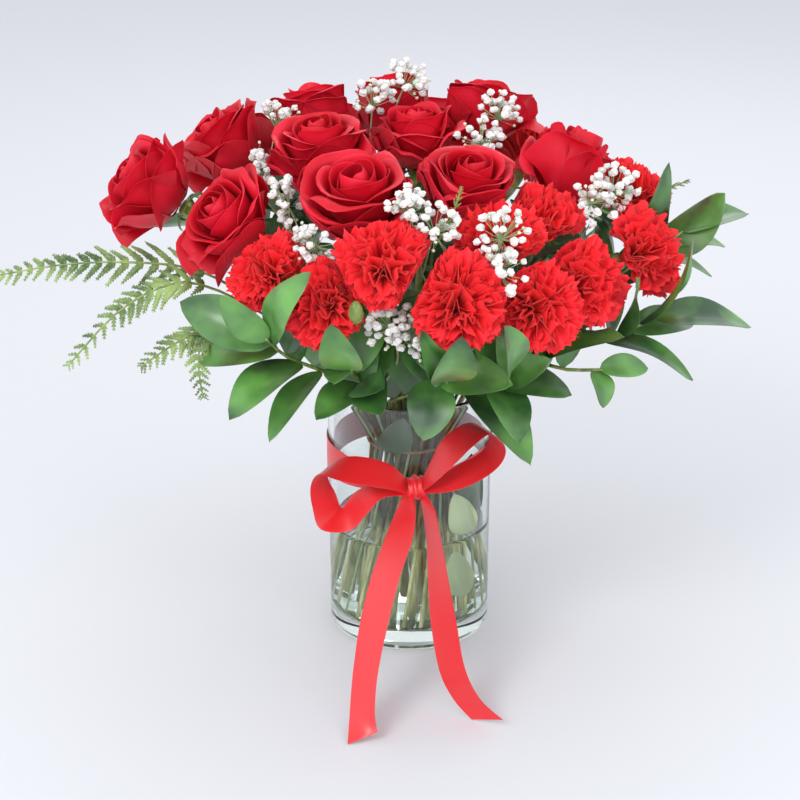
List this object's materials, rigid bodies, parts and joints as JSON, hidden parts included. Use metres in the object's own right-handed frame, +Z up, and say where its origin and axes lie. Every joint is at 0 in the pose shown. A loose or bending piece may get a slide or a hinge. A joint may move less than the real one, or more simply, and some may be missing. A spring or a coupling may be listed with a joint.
{
  "type": "vase of red roses and carnations",
  "caption": "Round bunch of cut red roses and ruffled red carnations with ruscus, fern and baby's breath, standing in water in a clear glass cylinder vase with a satin bow.",
  "frame": {"origin": "centre of the underside of the vase's foot", "axes": "+Z up along the vase's axis, -Y towards the viewer and the bow, +X to the viewer's right"},
  "size_m": [0.5501, 0.4324, 0.4199],
  "materials": {
    "clear_glass": "clear polished glass",
    "water": "still water",
    "jute_cord": "twisted natural fibre",
    "red_satin": "satin sheen",
    "green_stem": "smooth waxy stem",
    "rose_petal": "velvety petal",
    "carnation_petal": "matte ruffled petal",
    "ruscus_leaf": "glossy leaf",
    "fern_frond": "matte frond",
    "white_floret": "matte floret"
  },
  "bodies": {
    "root": {"vase": "clear_glass", "water": "water", "tie": "jute_cord", "ribbon": "red_satin", "flower_stems": "green_stem", "rose_far_left": "rose_petal", "rose_upper_left": "rose_petal", "rose_lower_left": "rose_petal", "rose_left_back": "rose_petal", "rose_left_centre": "rose_petal", "rose_front_centre": "rose_petal", "rose_top_back": "rose_petal", "rose_centre": "rose_petal", "rose_right_back": "rose_petal", "rose_right_centre": "rose_petal", "rose_right": "rose_petal", "rose_back_left": "rose_petal", "rose_rear": "rose_petal", "rose_rear_right": "rose_petal", "carnation_left": "carnation_petal", "carnation_lower_left": "carnation_petal", "carnation_front": "carnation_petal", "carnation_front_right": "carnation_petal", "carnation_centre_right": "carnation_petal", "carnation_upper_right": "carnation_petal", "carnation_lower_right": "carnation_petal", "carnation_right": "carnation_petal", "carnation_far_right": "carnation_petal", "carnation_high_right": "carnation_petal", "carnation_rear_right": "carnation_petal", "carnation_rear_far_right": "carnation_petal", "ruscus_high_right": "ruscus_leaf", "ruscus_back_right": "ruscus_leaf", "ruscus_rear": "ruscus_leaf", "ruscus_back_left": "ruscus_leaf", "ruscus_left": "ruscus_leaf", "ruscus_front_left": "ruscus_leaf", "ruscus_front": "ruscus_leaf", "ruscus_front_right": "ruscus_leaf", "ruscus_right": "ruscus_leaf", "ruscus_far_right": "ruscus_leaf", "fern_right": "fern_frond", "fern_rear": "fern_frond", "fern_far_left": "fern_frond", "fern_left": "fern_frond", "fern_low_left": "fern_frond", "fern_centre": "fern_frond", "babys_breath_right": "white_floret", "babys_breath_centre": "white_floret", "babys_breath_back": "white_floret", "babys_breath_left": "white_floret", "babys_breath_lower_left": "white_floret", "babys_breath_front": "white_floret", "babys_breath_front_centre": "white_floret", "babys_breath_front_right": "white_floret"}
  },
  "joints": []
}
